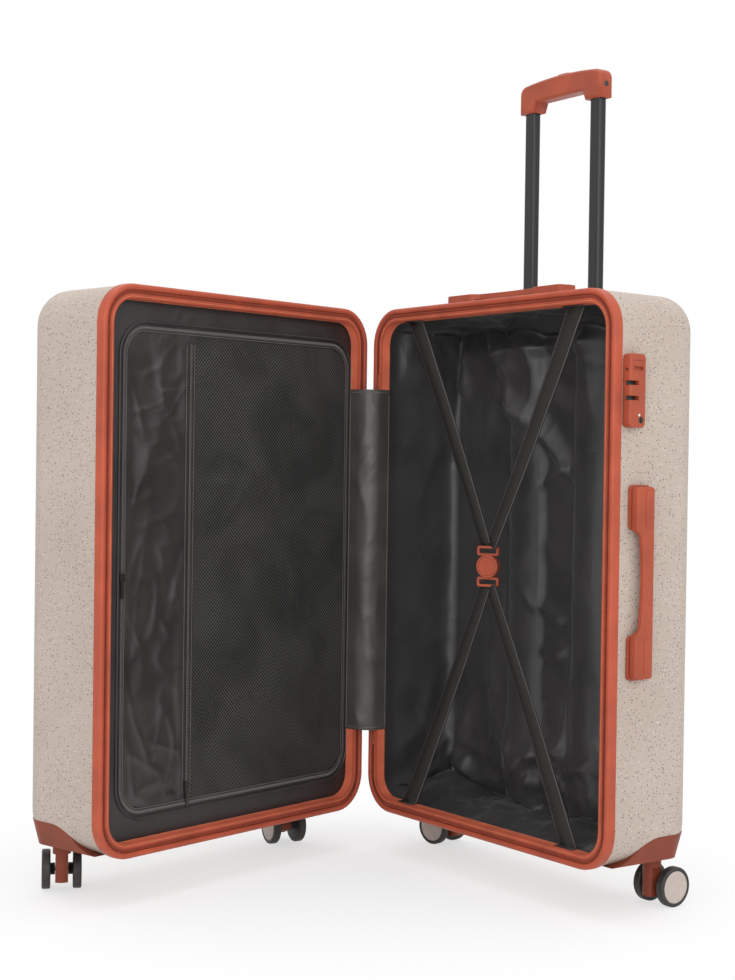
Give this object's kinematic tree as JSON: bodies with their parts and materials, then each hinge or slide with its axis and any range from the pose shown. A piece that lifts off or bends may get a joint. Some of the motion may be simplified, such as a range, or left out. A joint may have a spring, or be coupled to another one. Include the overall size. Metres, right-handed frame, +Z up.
{
  "type": "suitcase",
  "caption": "Hard shell suitcase standing open like a book on spinner casters, with a pull-out trolley handle, carry handles, a combination lock, buckled cross straps and a zipped divider.",
  "frame": {"origin": "on the floor, under the middle of the standing open case's bounding box", "axes": "+Z up along the pulled-out trolley; +Y out of the main half's back panel; +X from the hinge towards the main half's free side"},
  "size_m": [0.6462, 0.671, 1.071],
  "materials": {
    "shell": "matte with fine dark speckles",
    "terracotta_plastic": "satin",
    "terracotta_tape": "woven tape, stitched",
    "terracotta_zip": "moulded coil",
    "caster_plastic": "satin",
    "lining_cloth": "slick, creased",
    "divider_cloth": "slick",
    "mesh": "fine knitted mesh",
    "gusset_cloth": "coated, glossy",
    "webbing": "woven with pale edges",
    "black_zip": "coil",
    "black_metal": "satin black",
    "black_plastic": "satin",
    "tube": "black anodised",
    "push_rod": "drawn",
    "wheel": "dark tread, pale hub cap",
    "steel": "turned"
  },
  "bodies": {
    "main": {"main_shell": "shell", "main_edge_trim": "terracotta_tape", "main_zip": "terracotta_zip", "main_lining": "lining_cloth", "main_caster_housings": "caster_plastic", "trolley_bezel": "terracotta_plastic", "trolley_outer_tubes": "tube", "trolley_feet": "black_plastic", "top_handle_brackets": "terracotta_plastic", "side_handle_brackets": "terracotta_plastic", "lock_body": "terracotta_plastic", "upper_straps": "webbing", "lower_straps": "webbing", "buckle_socket": "terracotta_plastic", "hinge_gusset": "gusset_cloth"},
    "lid": {"lid_shell": "shell", "lid_edge_trim": "terracotta_tape", "lid_zip": "terracotta_zip", "lid_lining": "lining_cloth", "lid_caster_housings": "caster_plastic", "divider_border": "divider_cloth"},
    "divider": {"divider_panel": "divider_cloth", "divider_mesh": "mesh", "divider_pocket": "divider_cloth", "divider_zip": "black_zip", "pocket_zip": "black_zip"},
    "pocket_pull": {"pocket_zip_pull": "black_metal"},
    "divider_pull": {"divider_zip_pull": "black_metal"},
    "trolley": {"trolley_inner_tubes": "tube", "trolley_end_plugs": "black_plastic", "trolley_grip": "terracotta_plastic"},
    "push_button": {"grip_button": "terracotta_plastic", "trolley_push_rods": "push_rod"},
    "top_handle": {"top_handle": "terracotta_plastic"},
    "side_handle": {"side_handle": "terracotta_plastic"},
    "dial_1": {"lock_dial_1": "black_plastic"},
    "dial_2": {"lock_dial_2": "black_plastic"},
    "dial_3": {"lock_dial_3": "black_plastic"},
    "release": {"lock_release": "terracotta_plastic"},
    "cylinder": {"lock_cylinder": "black_plastic"},
    "prong": {"buckle_prong": "terracotta_plastic"},
    "buckle_button": {"buckle_button": "terracotta_plastic"},
    "slider_top": {"zip_slider_top": "black_metal"},
    "slider_bottom": {"zip_slider_bottom": "black_metal"},
    "main_free_caster": {"main_free_caster_fork": "caster_plastic", "main_free_caster_axle": "steel"},
    "main_free_caster_wheel_a": {"main_free_caster_wheel_a": "wheel"},
    "main_free_caster_wheel_b": {"main_free_caster_wheel_b": "wheel"},
    "main_hinge_caster": {"main_hinge_caster_fork": "caster_plastic", "main_hinge_caster_axle": "steel"},
    "main_hinge_caster_wheel_a": {"main_hinge_caster_wheel_a": "wheel"},
    "main_hinge_caster_wheel_b": {"main_hinge_caster_wheel_b": "wheel"},
    "lid_free_caster": {"lid_free_caster_fork": "caster_plastic", "lid_free_caster_axle": "steel"},
    "lid_free_caster_wheel_a": {"lid_free_caster_wheel_a": "wheel"},
    "lid_free_caster_wheel_b": {"lid_free_caster_wheel_b": "wheel"},
    "lid_hinge_caster": {"lid_hinge_caster_fork": "caster_plastic", "lid_hinge_caster_axle": "steel"},
    "lid_hinge_caster_wheel_a": {"lid_hinge_caster_wheel_a": "wheel"},
    "lid_hinge_caster_wheel_b": {"lid_hinge_caster_wheel_b": "wheel"}
  },
  "joints": [
    {"name": "lid_swing", "type": "hinge", "parent": "main", "child": "lid", "pos_m": [-0.18724, 0.17311, 0.41], "axis": [0, 0, -1], "range_deg": [-75, 105], "deforming": ["hinge_gusset"]},
    {"name": "divider_swing", "type": "hinge", "parent": "lid", "child": "divider", "pos_m": [-0.19819, 0.14325, 0.41], "axis": [0, 0, 1], "range_deg": [0, 65]},
    {"name": "pocket_zip_slide", "type": "slide", "parent": "divider", "child": "pocket_pull", "axis": [0, 0, 1], "range_m": [0, 0.54]},
    {"name": "divider_zip_slide", "type": "slide", "parent": "divider", "child": "divider_pull", "axis": [0, 0, 1], "range_m": [-0.21, 0.25]},
    {"name": "trolley_slide", "type": "slide", "parent": "main", "child": "trolley", "axis": [0, 0, 1], "range_m": [-0.267, 0]},
    {"name": "grip_button_press", "type": "slide", "parent": "trolley", "child": "push_button", "axis": [0, 0, -1], "range_m": [0, 0.004], "stiffness_N_per_m": 1200, "springref_m": -0.003},
    {"name": "top_handle_lift", "type": "slide", "parent": "main", "child": "top_handle", "axis": [0, 0, 1], "range_m": [0, 0.009]},
    {"name": "side_handle_lift", "type": "slide", "parent": "main", "child": "side_handle", "axis": [1, 0, 0], "range_m": [0, 0.009]},
    {"name": "lock_release_slide", "type": "slide", "parent": "main", "child": "release", "axis": [0, 0, -1], "range_m": [0, 0.004], "stiffness_N_per_m": 200, "springref_m": -0.002},
    {"name": "key_turn", "type": "hinge", "parent": "main", "child": "cylinder", "pos_m": [0.32176, 0.20711, 0.602], "axis": [1, 0, 0], "range_deg": [0, 90]},
    {"name": "buckle_open", "type": "slide", "parent": "main", "child": "prong", "axis": [0, 0, -1], "range_m": [0, 0.022], "deforming": ["lower_straps"]},
    {"name": "buckle_press", "type": "slide", "parent": "main", "child": "buckle_button", "axis": [-0.4695, 0.8829, 0], "range_m": [0, 0.0008], "stiffness_N_per_m": 800},
    {"name": "zip_slider_top_run", "type": "slide", "parent": "main", "child": "slider_top", "axis": [0, 0, 1], "range_m": [0, 0.04]},
    {"name": "zip_slider_bottom_run", "type": "slide", "parent": "main", "child": "slider_bottom", "axis": [0, 0, -1], "range_m": [0, 0.04]},
    {"name": "dial_1_turn", "type": "hinge", "parent": "main", "child": "dial_1", "pos_m": [0.31566, 0.21111, 0.62], "axis": [0, 0, 1], "continuous": true},
    {"name": "dial_2_turn", "type": "hinge", "parent": "main", "child": "dial_2", "pos_m": [0.31566, 0.21111, 0.637], "axis": [0, 0, 1], "continuous": true},
    {"name": "dial_3_turn", "type": "hinge", "parent": "main", "child": "dial_3", "pos_m": [0.31566, 0.21111, 0.654], "axis": [0, 0, 1], "continuous": true},
    {"name": "main_free_caster_swivel", "type": "hinge", "parent": "main", "child": "main_free_caster", "pos_m": [0.26576, 0.29311, 0.064], "axis": [0, 0, 1], "continuous": true},
    {"name": "main_free_caster_wheel_a_roll", "type": "hinge", "parent": "main_free_caster", "child": "main_free_caster_wheel_a", "pos_m": [0.24596, 0.30976, 0.025], "axis": [-0.9998, -0.0175, 0], "continuous": true},
    {"name": "main_free_caster_wheel_b_roll", "type": "hinge", "parent": "main_free_caster", "child": "main_free_caster_wheel_b", "pos_m": [0.28496, 0.31044, 0.025], "axis": [-0.9998, -0.0175, 0], "continuous": true},
    {"name": "main_hinge_caster_swivel", "type": "hinge", "parent": "main", "child": "main_hinge_caster", "pos_m": [-0.13824, 0.29311, 0.064], "axis": [0, 0, 1], "continuous": true},
    {"name": "main_hinge_caster_wheel_a_roll", "type": "hinge", "parent": "main_hinge_caster", "child": "main_hinge_caster_wheel_a", "pos_m": [-0.1516, 0.27095, 0.025], "axis": [0.1736, -0.9848, 0], "continuous": true},
    {"name": "main_hinge_caster_wheel_b_roll", "type": "hinge", "parent": "main_hinge_caster", "child": "main_hinge_caster_wheel_b", "pos_m": [-0.15837, 0.30936, 0.025], "axis": [0.1736, -0.9848, 0], "continuous": true},
    {"name": "lid_free_caster_swivel", "type": "hinge", "parent": "lid", "child": "lid_free_caster", "pos_m": [-0.18591, -0.29552, 0.064], "axis": [0, 0, 1], "continuous": true},
    {"name": "lid_free_caster_wheel_a_roll", "type": "hinge", "parent": "lid_free_caster", "child": "lid_free_caster_wheel_a", "pos_m": [-0.20956, -0.30601, 0.025], "axis": [-0.4226, -0.9063, 0], "continuous": true},
    {"name": "lid_free_caster_wheel_b_roll", "type": "hinge", "parent": "lid_free_caster", "child": "lid_free_caster_wheel_b", "pos_m": [-0.19308, -0.27066, 0.025], "axis": [-0.4226, -0.9063, 0], "continuous": true},
    {"name": "lid_hinge_caster_swivel", "type": "hinge", "parent": "lid", "child": "lid_hinge_caster", "pos_m": [-0.29047, 0.09472, 0.064], "axis": [0, 0, 1], "continuous": true},
    {"name": "lid_hinge_caster_wheel_a_roll", "type": "hinge", "parent": "lid_hinge_caster", "child": "lid_hinge_caster_wheel_a", "pos_m": [-0.27092, 0.11166, 0.025], "axis": [0.1392, 0.9903, 0], "continuous": true},
    {"name": "lid_hinge_caster_wheel_b_roll", "type": "hinge", "parent": "lid_hinge_caster", "child": "lid_hinge_caster_wheel_b", "pos_m": [-0.27635, 0.07304, 0.025], "axis": [0.1392, 0.9903, 0], "continuous": true}
  ]
}
